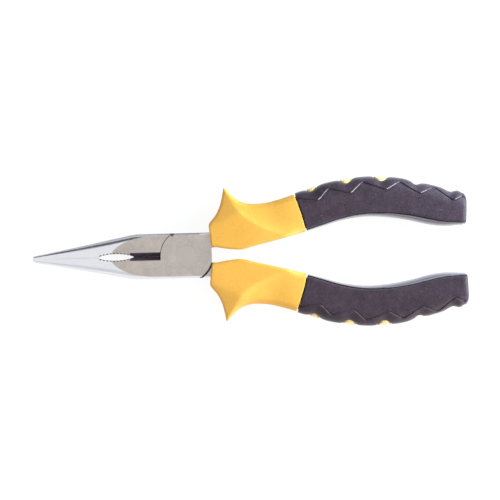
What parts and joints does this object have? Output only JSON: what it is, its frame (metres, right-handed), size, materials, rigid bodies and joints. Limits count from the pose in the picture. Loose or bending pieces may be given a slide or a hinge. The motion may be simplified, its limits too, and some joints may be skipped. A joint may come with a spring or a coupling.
{
  "type": "needle nose pliers",
  "caption": "Long nose pliers with serrated jaws, a pipe grip, side cutters, a riveted lap joint and cushioned guard handles.",
  "frame": {"origin": "on the rivet's axis, in the flat rear face of the lap joint", "axes": "+X from the tips towards the handle ends, +Y across the tool towards the handle that the front half carries, +Z along the rivet, out of the joint's front face"},
  "size_m": [0.1597, 0.055, 0.0131],
  "materials": {
    "forged_steel": "ground flats, polished nose",
    "rivet_steel": "ground flush",
    "yellow_plastic": "satin moulded",
    "black_rubber": "matte, finely textured"
  },
  "bodies": {
    "rear_half": {"rear_half_forging": "forged_steel", "pivot_rivet": "rivet_steel", "lower_handle_core": "yellow_plastic", "lower_handle_grip": "black_rubber"},
    "front_half": {"front_half_forging": "forged_steel", "upper_handle_core": "yellow_plastic", "upper_handle_grip": "black_rubber"}
  },
  "joints": [
    {"name": "pivot", "type": "hinge", "parent": "rear_half", "child": "front_half", "pos_m": [0, 0, 0.00475], "axis": [0, 0, 1], "range_deg": [0, 50]}
  ]
}
